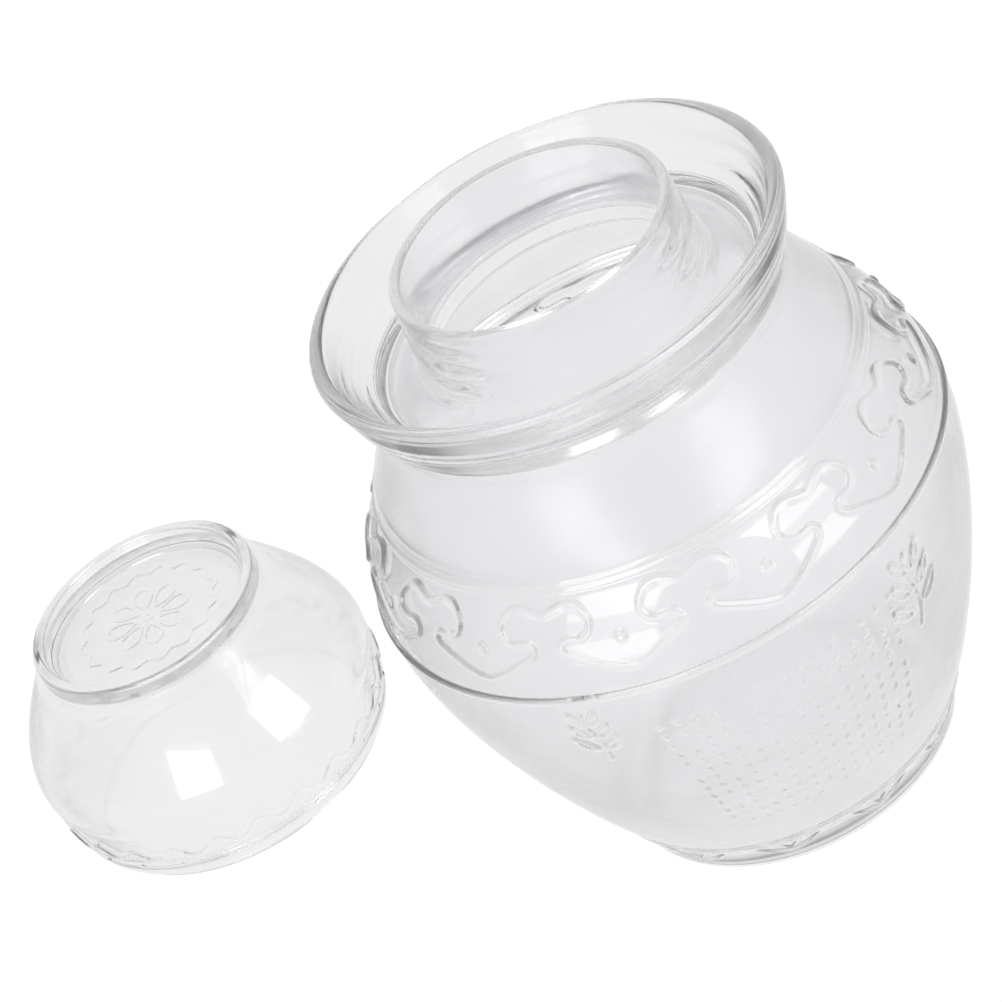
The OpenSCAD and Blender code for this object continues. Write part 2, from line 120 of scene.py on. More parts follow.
def round_off(centre, radius, start, end, steps=10):
    """An arc about centre, between two angles in degrees."""
    a = np.radians(np.linspace(start, end, steps + 1))
    return np.array(centre) + radius * np.c_[np.cos(a), np.sin(a)]


def bead(a, b, height, steps=10):
    """A raised bead between two points of an outline."""
    a, b = np.array(a, float), np.array(b, float)
    t = np.linspace(0, 1, steps + 1)[:, None]
    out = np.array([(b - a)[1], -(b - a)[0]]) / np.linalg.norm(b - a)
    return a + t * (b - a) + height * np.sin(math.pi * t) * out


def inward(points, t):
    """The same line t nearer the axis, run the other way."""
    return np.array(points)[::-1] - [t, 0]


def evenly(points, step):
    """The same line with points about a step apart."""
    points = np.vstack([points])
    keep = np.r_[True, np.linalg.norm(np.diff(points, axis=0), axis=1) > 1e-6]
    points = points[keep]
    run = np.r_[0, np.cumsum(np.linalg.norm(np.diff(points, axis=0), axis=1))]
    n = max(2, int(round(run[-1] / step)) + 1)
    s = np.linspace(0, run[-1], n)
    return np.c_[np.interp(s, run, points[:, 0]), np.interp(s, run, points[:, 1])]


def soften(points, times):
    """Rounds the corners of a line and keeps its ends."""
    points = points.copy()
    for _ in range(times):
        points[1:-1] = (points[:-2] + 2 * points[1:-1] + points[2:]) / 4
    return points


# %% Outline of the jar
WALL = 4.0
BASE_UP, FOOT_EDGE = 4.0, 2
FOOT_RIDGE_LOW, FOOT_TOP = 15, (67.3, 17.0)
BELLY_LOW = (101.2, 122.6)
BELLY_EDGE = (101.2, 125.0)
FOOT_BEAD, BELLY_BEAD, SHOULDER_BEADS = 0.7, 0.8, (1.1, 0.9)
BAND_LOW, BAND_TOP = (100.5, 125.0), (86.0, 155.4)
COLLAR_LOW, COLLAR_TOP = (86.0, 160.6), (69.5, 195.0)
MOUTH, NECK_TOP, THROAT_BEND = 44.8, 232.0, 6.5

belly = bend(FOOT_TOP, BELLY_LOW, [[0.348, 0.17], [1.056, 0.71]], 48)
band = bend(BAND_LOW, BAND_TOP, [[0.098, 0.406], [0.364, 0.815]])
collar = bend(COLLAR_LOW, COLLAR_TOP, [[0.323, 0.306], [0.876, 0.694]])
ridge_middle = (np.array(BAND_TOP) + COLLAR_LOW) / 2

underside = np.vstack([
    [[0, BASE_UP]],
    bend([21.2, BASE_UP], [53.0, 0], [[0.4, 0], [0.9, 0.3]]),
    [[58.6, 0]],
])
foot_side = bend([61, FOOT_EDGE], FOOT_TOP, [[0.25, 0.35], [0.75, 0.8]])
ridge_low = [np.interp(FOOT_RIDGE_LOW, foot_side[:, 1], foot_side[:, 0]), FOOT_RIDGE_LOW]
foot = np.vstack([
    round_off([59, FOOT_EDGE], FOOT_EDGE, -84, 0),
    foot_side[foot_side[:, 1] < FOOT_RIDGE_LOW - 0.2],
    bead(ridge_low, FOOT_TOP, FOOT_BEAD),
])
belly_ridge = np.vstack([bead(BELLY_LOW, BELLY_EDGE, BELLY_BEAD), [[100.5, 125.2]]])
shoulder_ridge = np.vstack([
    bead(BAND_TOP, ridge_middle, SHOULDER_BEADS[0]),
    bead(ridge_middle, COLLAR_LOW, SHOULDER_BEADS[1]),
])

TROUGH_WIDE, TROUGH_TOP, LIP = 81.8, 221.0, 2.7
lip_at = [TROUGH_WIDE - LIP, TROUGH_TOP - LIP]
wall_shares = [[0.52, 0.3], [0.78, 0.72]]
trough = np.vstack([
    [[70.4, 195.0]],
    round_off([71.7, 196.5], 1.5, -80, 0),
    bend([73.2, 196.5], [TROUGH_WIDE, lip_at[1]], wall_shares),
    round_off(lip_at, LIP, 0, 180, 16),
    bend([67.8, 204.5], [lip_at[0] - LIP, lip_at[1]], wall_shares)[::-1],
    round_off([64.8, 204.5], 3, 0, -90),
])
NECK_OUT, NECK_LIP = 48.3, 1.75
neck = np.vstack([
    round_off([54.3, 205.7], 4.2, -90, -180),
    [[NECK_OUT, NECK_TOP - NECK_LIP]],
    round_off([MOUTH + NECK_LIP, NECK_TOP - NECK_LIP], NECK_LIP, 0, 180, 12),
])
mouth = np.array([[MOUTH, NECK_TOP - 2.5], [MOUTH, 196 + THROAT_BEND]])
throat = np.vstack([
    round_off([MOUTH + THROAT_BEND, 195 + THROAT_BEND], THROAT_BEND, 180, 270),
    bend([57, 194.8], [65.8, 189.5], [[0.5, 0], [0.95, 0.3]]),
])
inside = soften(evenly(np.vstack([
    throat[-1:],
    inward(collar, WALL)[collar[::-1, 1] < 189],
    inward(band, WALL),
    inward(belly, WALL),
    bend([63.3, 17], [51.3, 7.5], [[0.1, 0.7], [0.3, 1]]),
    [[0, 10.0]],
]), 2.2), 3)
print("jar: widest radius", round(belly[:, 0].max(), 1), "mm, height", NECK_TOP, "mm")

# %% Outline of the lid
LID_X, LID_Y = -188.5, 140.9
LID_RIM, LID_WIDE, LID_WIDE_Z, LID_TOP_Z = 60.5, 67.8, 28.0, 75.5
LID_FOOT, LID_FOOT_TOP, LID_DISC, LID_WALL = 45.0, 82.0, 34.4, 3.4
RIM_EDGE, RIM_INSIDE, RIM_TOP_Z, FOOT_ROUND = 1.55, 4.6, 8, 1.6
rim_top = LID_RIM + (LID_WIDE - LID_RIM) * 0.62

lid_rim = np.vstack([
    round_off([LID_RIM - RIM_EDGE, RIM_EDGE], RIM_EDGE, -90, 0),
    bend([LID_RIM, RIM_EDGE], [rim_top, RIM_TOP_Z], [[0.55, 0.35], [0.95, 0.7]]),
])
lid_swell = bend([rim_top, RIM_TOP_Z], [LID_WIDE, LID_WIDE_Z], [[0.5, 0.25], [1, 0.55]])
dome_shares = [[-0.2, 0.305], [0.713, 0.78]]
lid_dome = bend([LID_WIDE, LID_WIDE_Z], [LID_FOOT + 0.5, LID_TOP_Z], dome_shares)
lid_side = np.vstack([lid_swell, lid_dome[1:]])
lid_foot = np.vstack([
    [[LID_FOOT, LID_TOP_Z + 0.3]],
    round_off([LID_FOOT - FOOT_ROUND, LID_FOOT_TOP - FOOT_ROUND], FOOT_ROUND, 0, 90),
    round_off([LID_FOOT - 3.0, LID_FOOT_TOP - FOOT_ROUND], FOOT_ROUND, 90, 165),
    bend([LID_FOOT - 4.6, LID_FOOT_TOP - FOOT_ROUND], [LID_DISC, LID_TOP_Z],
         [[0.04, 0.5], [0.5, 0.92]]),
])
lid_disc = np.array([[LID_DISC, LID_TOP_Z], [0, LID_TOP_Z]])

# The inside follows the outside one wall further in
along = np.gradient(lid_side, axis=0)
along /= np.linalg.norm(along, axis=1)[:, None]
lid_shell = (lid_side + LID_WALL * np.c_[-along[:, 1], along[:, 0]])[::-1]
lid_shell = lid_shell[(lid_shell[:, 1] < LID_TOP_Z - LID_WALL - 0.8) & (lid_shell[:, 1] > 9)]
lid_inside = soften(evenly(np.vstack([
    [[0, LID_TOP_Z - LID_WALL], [41, LID_TOP_Z - LID_WALL]],
    lid_shell,
    [[LID_RIM - RIM_INSIDE, 7], [LID_RIM - RIM_INSIDE, 1.6]],
]), 1.6), 4)
lid_inside = np.vstack([lid_inside, round_off([LID_RIM - 3.05, RIM_EDGE], RIM_EDGE, 180, 270)])
print("lid: widest radius", LID_WIDE, "mm, height", LID_FOOT_TOP, "mm")

# %% [markdown]
# ## Glass skins
#
# A jar like this could be turned with a Screw modifier, but its relief and the marks of the
# tools are real shape and have to be in the mesh. So each outline is cut into bands, each
# band is a grid of rows and columns round the axis, and every point of the grid is moved
# along the outline's normal by what the relief says there. A band with fine relief gets
# more columns than a plain one. Where two bands meet, their rings are zipped together with
# triangles, so the skin stays closed, which refraction needs.

# %% Helpers for glass skins


def columns(n):
    """n azimuths in degrees, evenly round a full turn."""
    return np.linspace(-180, 180, n, endpoint=False)


def denser(n, low, high, step):
    """n azimuths round the turn, with closer ones between low and high."""
    plain = columns(n)
    fine = np.arange(low, high, step)
    return np.sort(np.r_[plain[(plain < low - step) | (plain >= high)], fine])


def normals(points):
    """The outward normal of a line at each of its points."""
    d = np.gradient(points, axis=0)
    d /= np.linalg.norm(d, axis=1)[:, None] + 1e-12
    return np.c_[d[:, 1], -d[:, 0]]


def zip_rings(a, first_a, b, first_b):
    """Triangles between two rings with azimuths a and b."""
    faces, i, j = [], 0, 0
    while i < len(a) or j < len(b):
        next_a = a[i + 1] if i + 1 < len(a) else 180 if i < len(a) else 999
        next_b = b[j + 1] if j + 1 < len(b) else 180 if j < len(b) else 999
        p, q = first_a + i % len(a), first_b + j % len(b)
        if next_a <= next_b:
            faces.append((p, first_a + (i + 1) % len(a), q))
            i += 1
        else:
            faces.append((p, first_b + (j + 1) % len(b), q))
            j += 1
    return faces


def join_rings(a, first_a, b, first_b):
    """Faces between two rings. A ring with no azimuths is a single point on the axis."""
    if a is None and b is None:
        return []
    if a is None or b is None:
        ring, start, tip = (b, first_b, first_a) if a is None else (a, first_a, first_b)
        i = np.arange(len(ring))
        j = (i + 1) % len(ring)
        fan = np.c_[start + j, start + i, np.full(len(ring), tip)]
        return (fan if a is None else fan[:, [1, 0, 2]]).tolist()
    if len(a) == len(b) and np.allclose(a, b):
        i = np.arange(len(a))
        j = (i + 1) % len(a)
        return np.c_[first_a + i, first_a + j, first_b + j, first_b + i].tolist()
    return zip_rings(a, first_a, b, first_b)


def glass_skin(name, bands, centre):
    """One closed skin from bands of outline, azimuths, relief or None, and finish.

    A relief is a function of azimuths and outline that gives heights in millimetres. The
    outline starts and ends on the axis, or else runs back into its own start."""
    line = np.vstack([b[0] for b in bands])
    facing = normals(line)
    points, rings, faces, finishes = [], [], [], []
    row = total = 0
    for outline, azimuths, relief, finish in bands:
        n = len(outline)
        height = np.zeros((n, len(azimuths))) if relief is None else relief(azimuths, outline)
        a = np.radians(azimuths)
        for k in range(n):
            r, z = outline[k]
            if r < 1e-6:
                points.append(np.array([[0, 0, z]]))
                rings.append((total, None, finish))
                total += 1
            else:
                nr, nz = facing[row + k]
                rr = r + height[k] * nr
                points.append(np.c_[rr * np.cos(a), rr * np.sin(a), z + height[k] * nz])
                rings.append((total, azimuths, finish))
                total += len(azimuths)
        row += n
    pairs = list(zip(rings, rings[1:]))
    if rings[0][1] is not None:
        pairs.append((rings[-1], rings[0]))
    for (first_a, a, _), (first_b, b, finish) in pairs:
        faces += join_rings(a, first_a, b, first_b)
        finishes += [finish] * (len(faces) - len(finishes))
    points = (np.vstack(points) + [*centre, 0]) * MM
    mesh = bpy.data.meshes.new(name)
    mesh.from_pydata(points, [], faces)
    mesh.polygons.foreach_set("use_smooth", np.ones(len(mesh.polygons), bool))
    mesh.polygons.foreach_set("material_index", np.array(finishes, np.int32))
    mesh.update()
    piece = bpy.data.objects.new(name, mesh)
    bpy.context.scene.collection.objects.link(piece)
    print(name, len(mesh.vertices), "points,", len(mesh.polygons), "faces")
    return piece


# %% [markdown]
# ## Relief patterns
#
# The mould presses raised lines into the glass. A line is drawn on a flat pattern, x round
# the jar and y up it, and the height of the glass at a point follows from its distance to
# the line: full height on it, falling off in a smooth curve to nothing at its edge. A bump
# texture would be quicker, but it only shades the surface. Glass shows relief by bending
# light through it and at its outline, so here the relief is shape.

# %% Helpers for relief
RIDGE_SIDES = 0.6


def flowing(points, closed=False, steps=6):
    """A smooth line through the points. A closed one ends where it starts."""
    p = np.array(points, float)
    p = np.vstack([p[-1:], p, p[:2]]) if closed else np.vstack([p[:1], p, p[-1:]])
    out = []
    for a, b, c, d in zip(p[:-3], p[1:-2], p[2:-1], p[3:]):
        for t in np.arange(steps) / steps:
            out.append(0.5 * (2 * b + (c - a) * t + (2 * a - 5 * b + 4 * c - d) * t * t
                              + (3 * b - a - 3 * c + d) * t * t * t))
    out.append(out[0] if closed else p[-2])
    return np.array(out)


def distance_to_line(x, y, line):
    """How far each point (x, y) is from a line of points."""
    best = np.full(x.shape, 1e9)
    for a, b in zip(line[:-1], line[1:]):
        d = b - a
        t = np.clip(((x - a[0]) * d[0] + (y - a[1]) * d[1]) / max(d @ d, 1e-9), 0, 1)
        best = np.minimum(best, (x - a[0] - t * d[0]) ** 2 + (y - a[1] - t * d[1]) ** 2)
    return np.sqrt(best)


def raised(distance, width, height):
    """The height at a distance from the middle of a ridge with soft sides and a flat top."""
    t = np.clip((1 - 2 * distance / width) / RIDGE_SIDES, 0, 1)
    return height * t * t * (3 - 2 * t)


def wrapped(x, period):
    """x moved by whole periods to the one round zero."""
    return (x + period / 2) % period - period / 2


def uneven(seed, rows, azimuths, row_spread, turn_spread):
    """Soft unevenness of height about 1, that closes round the turn.

    row_spread is in rows and turn_spread in degrees, with one value a degree."""
    n = 360
    noise = np.random.default_rng(seed).normal(size=(rows, n))
    fy, fx = np.fft.fftfreq(rows)[:, None], np.fft.fftfreq(n)[None]
    keep = np.exp(-2 * (math.pi * row_spread * fy) ** 2 - 2 * (math.pi * turn_spread * fx) ** 2)
    noise = np.real(np.fft.ifft2(np.fft.fft2(noise) * keep))
    noise /= noise.std() + 1e-12
    at = (np.asarray(azimuths) + 180) % 360
    i = np.floor(at).astype(int) % n
    t = at - np.floor(at)
    return noise[:, i] * (1 - t) + noise[:, (i + 1) % n] * t


# %% [markdown]
# ## Cloud border
#
# Round the shoulder runs a border of twelve clouds in the old ruyi shape: two lobes with a
# notch between them, each curling in to a hook, and from hook to hook a hanging festoon
# with a dot above it. An Array modifier on a bent curve could repeat a cloud, but then the
# line would lie on the glass as a second piece. On the real jar it is one with the wall. So
# one half cloud is drawn in shares of the border's size, mirrored, and repeated by wrapping
# x into one cloud's width.

# %% Cloud border
CLOUDS, CLOUD_AZIMUTH, DOT_HEIGHT, CLOUD_TALL = 12, -124.3, 142.5, 21.0
CLOUD_LINE_WIDE, CLOUD_DOT_WIDE, CLOUD_RAISED = 2.5, 4.8, 0.95
BAND_RADIUS = float(np.interp(DOT_HEIGHT, band[:, 1], band[:, 0]))
cloud_wide = 2 * math.pi * BAND_RADIUS / CLOUDS
half_cloud = np.array([
    [0, 0.43], [0.13, 0.46], [0.33, 0.51], [0.53, 0.47], [0.65, 0.32], [0.61, 0.16],
    [0.48, 0.085], [0.36, 0.09], [0.245, 0.085], [0.19, -0.01], [0.25, -0.11], [0.38, -0.19],
    [0.56, -0.3], [0.76, -0.42], [1, -0.5], [1.24, -0.42]])
whole_cloud = np.vstack([half_cloud[:0:-1] * [-1, 1], half_cloud])
cloud_line = flowing(whole_cloud) * [cloud_wide / 2, CLOUD_TALL]
print(CLOUDS, "clouds,", round(cloud_wide, 1), "mm wide each")


def cloud_border(azimuths, outline):
    """Heights of the clouds, festoons and dots."""
    x = wrapped(np.radians(azimuths - CLOUD_AZIMUTH) * BAND_RADIUS, cloud_wide)
    x, y = np.meshgrid(x, outline[:, 1] - DOT_HEIGHT)
    line = raised(distance_to_line(x, y, cloud_line), CLOUD_LINE_WIDE, CLOUD_RAISED)
    dot = raised(np.hypot(np.abs(x) - cloud_wide / 2, y), CLOUD_DOT_WIDE, CLOUD_RAISED)
    return np.maximum(line, dot)


# %% [markdown]
# ## Foot border, panel and sprigs
#
# The foot carries a waved line with a leaf over each low point. On the belly there is a
# panel of small raised marks in rows, and a sprig on each side of it. A stencil image could
# press them, but a rule needs no image and stays sharp from near by. The marks' lean comes
# from their row and column, and they say nothing.

# %% Foot border
LEAVES, FOOT_RADIUS, FOOT_BORDER_TALL, LEAF_SHARE = 12, 64.5, 17, 0.62
WAVE_LINE_WIDE, WAVE_RAISED = 1.9, 0.6
LEAF_LINE_WIDE, LEAF_RAISED = 1.4, 0.5
leaf_wide = 2 * math.pi * FOOT_RADIUS / LEAVES
wave_line = flowing(np.array([
    [-0.18, 0.71], [0, 0.8], [0.18, 0.71], [0.34, 0.49], [0.5, 0.38], [0.66, 0.49],
    [0.82, 0.71], [1, 0.8], [1.18, 0.71]])
    * [leaf_wide, FOOT_BORDER_TALL] - [leaf_wide / 2, 0])
leaf_line = flowing(np.array([
    [-0.3, 0.76], [-0.12, 0.68], [0, 0.5], [0.12, 0.68], [0.3, 0.76], [0.1, 0.8],
    [0, 0.81], [-0.1, 0.8]])
    * [leaf_wide * LEAF_SHARE, FOOT_BORDER_TALL], closed=True)
print(LEAVES, "waves and leaves round the foot,", round(leaf_wide, 1), "mm wide each")


def foot_border(azimuths, outline):
    """Heights of the waved line and the leaves."""
    x = wrapped(np.radians(azimuths) * FOOT_RADIUS - leaf_wide / 2, leaf_wide)
    x, y = np.meshgrid(x, outline[:, 1])
    wave = raised(distance_to_line(x, y, wave_line), WAVE_LINE_WIDE, WAVE_RAISED)
    leaf = raised(distance_to_line(x, y, leaf_line), LEAF_LINE_WIDE, LEAF_RAISED)
    return np.maximum(wave, leaf)


# %% Panel and sprigs on the belly
PANEL_AZIMUTH, PANEL_MIDDLE, PANEL_PITCH = -86.0, 72.0, 5.6
PANEL_ROWS, PANEL_COLUMNS, PANEL_LEANS = 13, 15, 7
MARK_WIDE, MARK_RAISED = 2.4, 0.45
SPRIG_LINE_WIDE, SPRIG_RAISED = 1.5, 0.55
# Azimuth, height of the middle, and length
SPRIGS = [(-55.0, 97.5, 33.7), (-123.0, 106.0, 23.6)]
PANEL_RADIUS = float(np.interp(PANEL_MIDDLE, belly[:, 1], belly[:, 0]))
print("panel:", PANEL_ROWS, "rows of", PANEL_COLUMNS, "places; sprigs:", len(SPRIGS))


def panel_marks(azimuths, outline):
    """Heights of the small marks, each of which leans as its row and column say."""
    x = np.radians(wrapped(azimuths - PANEL_AZIMUTH, 360)) * PANEL_RADIUS
    x, y = np.meshgrid(x, outline[:, 1] - PANEL_MIDDLE)
    col, row = np.rint(x / PANEL_PITCH), np.rint(y / PANEL_PITCH)
    inside_panel = (np.abs(col) <= PANEL_COLUMNS // 2) & (np.abs(row) <= PANEL_ROWS // 2)
    rule = 3 * (row + PANEL_ROWS // 2) + 5 * (col + PANEL_COLUMNS // 2)
    rule = rule.astype(int) % PANEL_LEANS
    lean = rule * math.pi / PANEL_LEANS
    dx, dy = x - col * PANEL_PITCH, y - row * PANEL_PITCH
    along_mark = dx * np.cos(lean) + dy * np.sin(lean)
    across_mark = dy * np.cos(lean) - dx * np.sin(lean)
    mark = raised(np.hypot(along_mark * 0.7, across_mark * 1.15), MARK_WIDE, MARK_RAISED)
    return np.where(inside_panel & (rule != 0), mark, 0)


stem = np.array([[0, -0.5], [0.05, -0.2], [0, 0.1], [-0.06, 0.32], [0, 0.5]])
low_blade = np.array([
    [0.02, -0.24], [0.15, -0.24], [0.27, -0.14], [0.31, 0.0], [0.18, -0.08], [0.02, -0.24]])


def sprig(azimuths, outline, azimuth, middle, size):
    """Heights of one sprig: a stem with three pairs of blades."""
    radius = float(np.interp(middle, belly[:, 1], belly[:, 0]))
    x = np.radians(wrapped(azimuths - azimuth, 360)) * radius / size
    x, y = np.meshgrid(x, (outline[:, 1] - middle) / size)
    near = distance_to_line(x, y, flowing(stem))
    for k in range(3):
        for side in (-1, 1):
            blade = low_blade * [side * (1 - k / 5), 1] + [0.02 * side, k * 0.26]
            near = np.minimum(near, distance_to_line(x, y, flowing(blade)))
    return raised(near * size, SPRIG_LINE_WIDE, SPRIG_RAISED)


def belly_relief(azimuths, outline):
    """Heights of all that the belly carries."""
    height = panel_marks(azimuths, outline)
    for azimuth, middle, size in SPRIGS:
        height = np.maximum(height, sprig(azimuths, outline, azimuth, middle, size))
    return height


# %% [markdown]
# ## Marks of the tools and the mould
#
# The trough and the neck were opened and rolled with tools while the jar turned, which
# left fine rings that start and fade. The inside of a blown jar touches nothing, so it is
# soft and a little uneven, and that is what bends the light in it. A Displace modifier with
# a noise texture can do this. Here the noise is made in numbers, stretched along the turn
# and closed round it, because a noise texture can't follow a turn.

# %% Marks of the tools and the mould
FINE_RINGS, BROAD_RINGS, RINGS_ON_NECK = 0.018, 0.07, 0.4
BLOWN_HIGH, BLOWN_CALM_WITHIN = 0.05, 40
FOLD_HIGH, FOLD_HALF_TALL = 1.2, 2.1
# Folds that the tool dragged up on the neck: azimuth, height and half length in degrees
NECK_FOLDS = [(-146, 224.5, 10), (-142, 217, 13), (-147, 210, 11), (-38, 222, 9), (-31, 213, 11)]
print(len(NECK_FOLDS), "folds on the neck,", FOLD_HIGH, "mm high")


def tool_rings(azimuths, outline):
    """Heights of the rings that the tools left."""
    fine = uneven(5, len(outline), azimuths, 1.5, 24)
    broad = uneven(6, len(outline), azimuths, 3.0, 40)
    return FINE_RINGS * fine + BROAD_RINGS * broad


def neck_marks(azimuths, outline):
    """Fainter rings, and the folds."""
    height = RINGS_ON_NECK * tool_rings(azimuths, outline)
    a, z = np.meshgrid(azimuths, outline[:, 1])
    for azimuth, middle, half_turn in NECK_FOLDS:
        along_fold = wrapped(a - azimuth, 360) / half_turn
        across_fold = (z - middle) / FOLD_HALF_TALL
        height += FOLD_HIGH * np.exp(-along_fold ** 2 - across_fold ** 2)
    return height


def blown_wall(azimuths, outline):
    """The soft unevenness of a blown wall, which dies out towards the axis."""
    calm = np.clip(outline[:, :1] / BLOWN_CALM_WITHIN, 0, 1)
    return BLOWN_HIGH * calm * uneven(7, len(outline), azimuths, 7, 11)


# %% [markdown]
# ## The jar
#
# The real jar is one piece of glass with an outside and an inside, so its skin is one
# closed mesh. A Solidify modifier could give an outside its inside, but it would make every
# wall equally thick and copy the relief inwards. Two meshes that meet would show their seam,
# because light bends at every face. The bands run from the middle of the base up the
# outside, over the trough and the neck, and back down the inside. Each has its columns, its
# relief and its finish.

# %% The jar
RELIEF_COLUMNS = columns(1080)
BELLY_COLUMNS = denser(240, -140, -40, 0.36)
PLAIN_COLUMNS = columns(240)
TOOLED_COLUMNS = columns(300)

OUTER, INNER, TOOLED, SATIN = 0, 1, 2, 3
jar_glass = glass_skin("jar_glass", [
    (evenly(underside, 2.0), PLAIN_COLUMNS, None, OUTER),
    (evenly(foot, 0.6), RELIEF_COLUMNS, foot_border, OUTER),
    (evenly(belly, 0.85)[1:], BELLY_COLUMNS, belly_relief, OUTER),
    (evenly(belly_ridge, 0.3)[1:], PLAIN_COLUMNS, None, OUTER),
    (evenly(band, 0.6)[1:], RELIEF_COLUMNS, cloud_border, OUTER),
    (evenly(shoulder_ridge, 0.35)[1:], PLAIN_COLUMNS, None, OUTER),
    (evenly(collar, 1.2)[1:], PLAIN_COLUMNS, None, SATIN),
    (evenly(trough, 0.6), TOOLED_COLUMNS, tool_rings, TOOLED),
    (evenly(neck, 0.6)[1:], TOOLED_COLUMNS, neck_marks, SATIN),
    (evenly(mouth, 1.2), PLAIN_COLUMNS, None, SATIN),
    (throat[1:], PLAIN_COLUMNS, None, SATIN),
    (inside[1:], PLAIN_COLUMNS, blown_wall, INNER),
], [0, 0])

# %% [markdown]
# ## The lid
#
# The lid is a bowl with a thick rim. Its foot ring is the knob, and the disc inside the
# ring carries a flower in a wavy ring. A waved line and dots run round it above the rim. It
# was pressed, so its inside follows the outside one wall further in, a little unevenly.
# It is made as the jar is, with its line run back into its own start at the rim.

# %% Relief of the lid
LID_WAVES, LID_WAVE_Z, LID_WAVE_HALF_TALL, LID_DOT_Z = 24, 18, 2.5, 12.6
PETALS, RING = 8, 0.78 * LID_DISC
print("lid:", LID_WAVES, "waves round the rim,", PETALS, "petals on the disc")


def lid_border(azimuths, outline):
    """Heights of the waved line and the dots."""
    pitch = 2 * math.pi * LID_WIDE / LID_WAVES
    x = np.radians(azimuths) * LID_WIDE
    xx, yy = np.meshgrid(wrapped(x, pitch), outline[:, 1])
    t = np.linspace(-0.7, 0.7, 60)
    wave = np.c_[t * pitch, LID_WAVE_Z + LID_WAVE_HALF_TALL * np.sin(2 * math.pi * t)]
    line = raised(distance_to_line(xx, yy, wave), 1.8, 0.55)
    dot = raised(np.hypot(xx - pitch / 4, yy - LID_DOT_Z), 2.4, 0.5)
    return np.maximum(line, dot)


def disc_flower(azimuths, outline):
    """Heights of the wavy ring, the petals and the heart."""
    a, r = np.meshgrid(np.radians(azimuths), outline[:, 0])
    ring = RING * (1 + 0.045 * np.cos(2 * PETALS * a))
    line = raised(np.abs(r - ring), 1.9, 0.45)
    turn_part = wrapped(a, 2 * math.pi / PETALS)
    x, y = r * np.cos(turn_part), r * np.sin(turn_part)
    petal = flowing(np.array([
        [0.2, 0], [0.3, -0.08], [0.42, -0.13], [0.54, -0.12], [0.64, 0], [0.54, 0.12],
        [0.42, 0.13], [0.3, 0.08]]) * RING, closed=True)
    petals = raised(distance_to_line(x, y, petal), 1.5, 0.38)
    heart = raised(r, 0.26 * RING, 0.45)
    return np.maximum(np.maximum(line, petals), heart)


# %% The lid's skin
lid_glass = glass_skin("lid_glass", [
    (evenly(lid_rim, 0.7), columns(360), None, OUTER),
    (evenly(lid_swell, 0.6)[1:], columns(900), lid_border, OUTER),
    (evenly(lid_dome, 1.2)[1:], columns(240), None, OUTER),
    (evenly(lid_foot, 0.4), columns(300), None, TOOLED),
    (evenly(lid_disc, 0.6)[1:], columns(480), disc_flower, OUTER),
    (evenly(lid_inside, 1.6), columns(240), blown_wall, INNER),
], [LID_X, LID_Y])

# %% [markdown]
# ## Clear glass
#
# Clear glass has hardly any colour of its own. What is seen is its surroundings, bent by
# the two faces of each wall, and dimmed a little at each face. A Glass BSDF would do, but
# it can't mirror less than polished glass does. So the shader is a Principled BSDF with
# full transmission and the index of soda glass, and a lower specular tint makes the satin
# collar and neck mirror less. Noise in object space drives a faint bump, so that a
# reflection isn't as straight as in a mirror, and a haze, which is least where a mould
# pressed the glass and most on the inside, where nothing touched it.

# %% Helpers for materials
SODA_GLASS_IOR = 1.5


def new_material(name):
    """A new material, with its nodes, its links and its Principled shader."""
    material = bpy.data.materials.new(name)
    material.use_nodes = True
    nodes = material.node_tree.nodes
    return material, nodes, material.node_tree.links, nodes["Principled BSDF"]


def clear_glass(name, tint, haze_low, haze_high,
                stretch=(50, 50, 50), wave_height=0.0001, mirror=1.0):
    """Clear glass. Noise sets its haze and its waves.

    stretch is waves a metre along x, y and z, and wave_height is in metres. mirror is how
    much it mirrors, as a share of what polished glass does."""
    material, nodes, links, shader = new_material(name)
    shader.inputs["Base Color"].default_value = (*tint, 1)
    shader.inputs["IOR"].default_value = SODA_GLASS_IOR
    shader.inputs["Transmission Weight"].default_value = 1.0
    shader.inputs["Specular Tint"].default_value = (mirror, mirror, mirror, 1)
    place = nodes.new("ShaderNodeTexCoord")
    stretched = nodes.new("ShaderNodeMapping")
    stretched.inputs["Scale"].default_value = stretch
    noise = nodes.new("ShaderNodeTexNoise")
    noise.inputs["Scale"].default_value = 1.0
    noise.inputs["Detail"].default_value = 3.0
    bump = nodes.new("ShaderNodeBump")
    bump.inputs["Strength"].default_value = 0.5
    bump.inputs["Distance"].default_value = wave_height
    haze = nodes.new("ShaderNodeMapRange")
    haze.inputs["From Min"].default_value = 0.35
    haze.inputs["From Max"].default_value = 0.65
    haze.inputs["To Min"].default_value = haze_low
    haze.inputs["To Max"].default_value = haze_high
    links.new(place.outputs["Object"], stretched.inputs["Vector"])
    links.new(stretched.outputs["Vector"], noise.inputs["Vector"])
    links.new(noise.outputs["Fac"], bump.inputs["Height"])
    links.new(noise.outputs["Fac"], haze.inputs["Value"])
    links.new(haze.outputs["Result"], shader.inputs["Roughness"])
    links.new(bump.outputs["Normal"], shader.inputs["Normal"])
    return material


